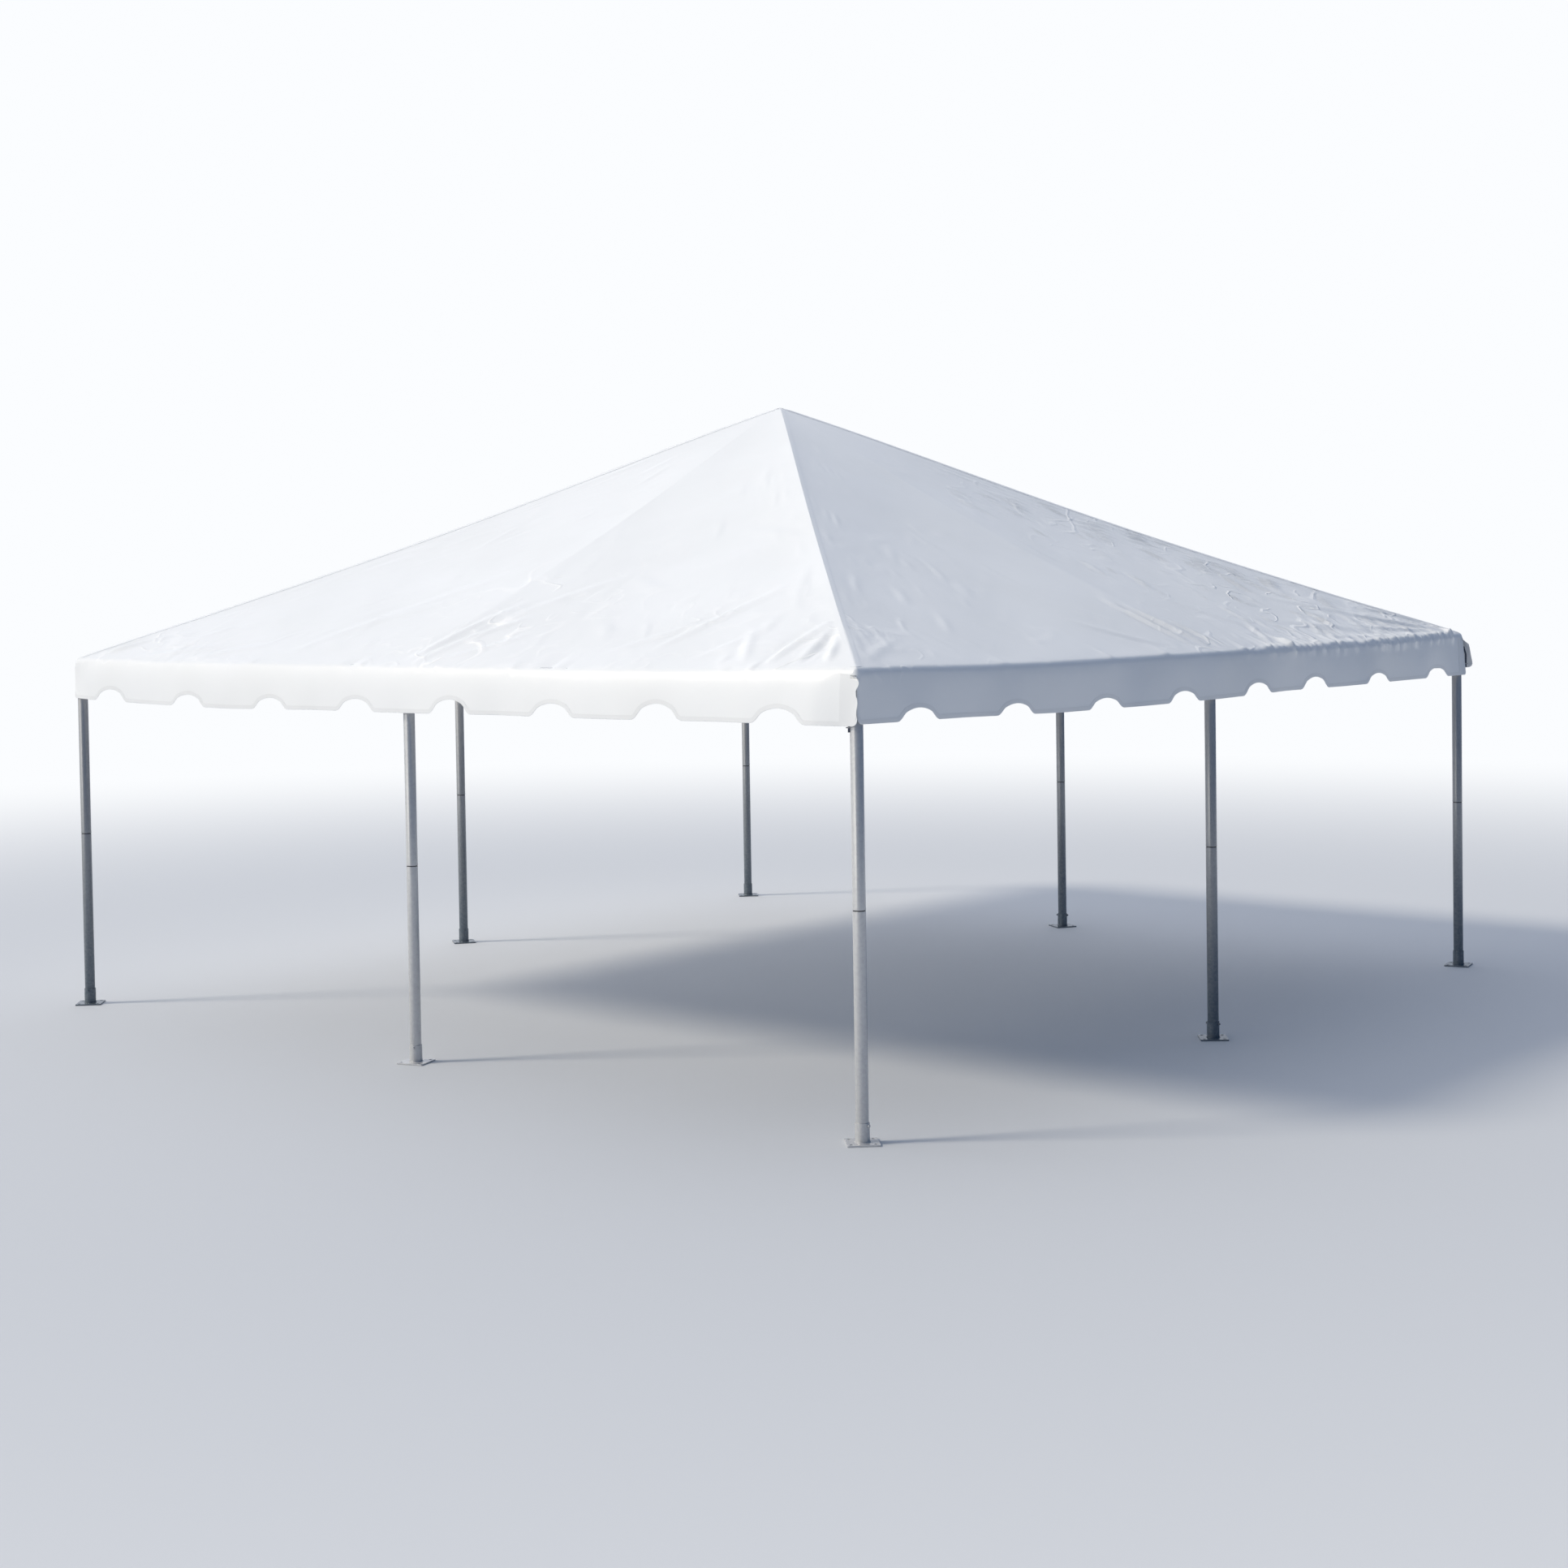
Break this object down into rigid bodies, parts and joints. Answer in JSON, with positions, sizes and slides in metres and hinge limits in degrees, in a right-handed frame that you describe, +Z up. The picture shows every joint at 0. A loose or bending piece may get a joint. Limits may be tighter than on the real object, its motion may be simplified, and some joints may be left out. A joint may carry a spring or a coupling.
{
  "type": "frame marquee tent",
  "caption": "Square open-sided frame tent with a white hip roof, scalloped valance, and round galvanised pipe legs on flat base plates.",
  "frame": {"origin": "on the ground under the peak, at the middle of the square of legs", "axes": "+Z up; the front side faces -Y and the right side faces +X"},
  "size_m": [6.3116, 6.3116, 3.6176],
  "materials": {
    "canopy_vinyl": "satin white coated vinyl cloth",
    "galvanised_steel": "dull galvanised"
  },
  "bodies": {
    "root": {"roof_panel_front": "canopy_vinyl", "roof_panel_right": "canopy_vinyl", "roof_panel_back": "canopy_vinyl", "roof_panel_left": "canopy_vinyl", "valance_front": "canopy_vinyl", "valance_right": "canopy_vinyl", "valance_back": "canopy_vinyl", "valance_left": "canopy_vinyl", "crown_fitting": "galvanised_steel", "hip_rafter_front_left": "galvanised_steel", "hip_rafter_front_right": "galvanised_steel", "hip_rafter_back_right": "galvanised_steel", "hip_rafter_back_left": "galvanised_steel", "mid_rafter_front": "galvanised_steel", "mid_rafter_right": "galvanised_steel", "mid_rafter_back": "galvanised_steel", "mid_rafter_left": "galvanised_steel", "eave_pipe_front_left": "galvanised_steel", "eave_pipe_front_right": "galvanised_steel", "eave_pipe_right_front": "galvanised_steel", "eave_pipe_right_back": "galvanised_steel", "eave_pipe_back_right": "galvanised_steel", "eave_pipe_back_left": "galvanised_steel", "eave_pipe_left_back": "galvanised_steel", "eave_pipe_left_front": "galvanised_steel", "corner_fitting_front_left": "galvanised_steel", "corner_fitting_front_right": "galvanised_steel", "corner_fitting_back_right": "galvanised_steel", "corner_fitting_back_left": "galvanised_steel", "side_fitting_front": "galvanised_steel", "side_fitting_right": "galvanised_steel", "side_fitting_back": "galvanised_steel", "side_fitting_left": "galvanised_steel", "leg_front_left": "galvanised_steel", "leg_front_middle": "galvanised_steel", "leg_front_right": "galvanised_steel", "leg_right_middle": "galvanised_steel", "leg_back_right": "galvanised_steel", "leg_back_middle": "galvanised_steel", "leg_back_left": "galvanised_steel", "leg_left_middle": "galvanised_steel", "base_plate_front_left": "galvanised_steel", "base_plate_front_middle": "galvanised_steel", "base_plate_front_right": "galvanised_steel", "base_plate_right_middle": "galvanised_steel", "base_plate_back_right": "galvanised_steel", "base_plate_back_middle": "galvanised_steel", "base_plate_back_left": "galvanised_steel", "base_plate_left_middle": "galvanised_steel"}
  },
  "joints": []
}
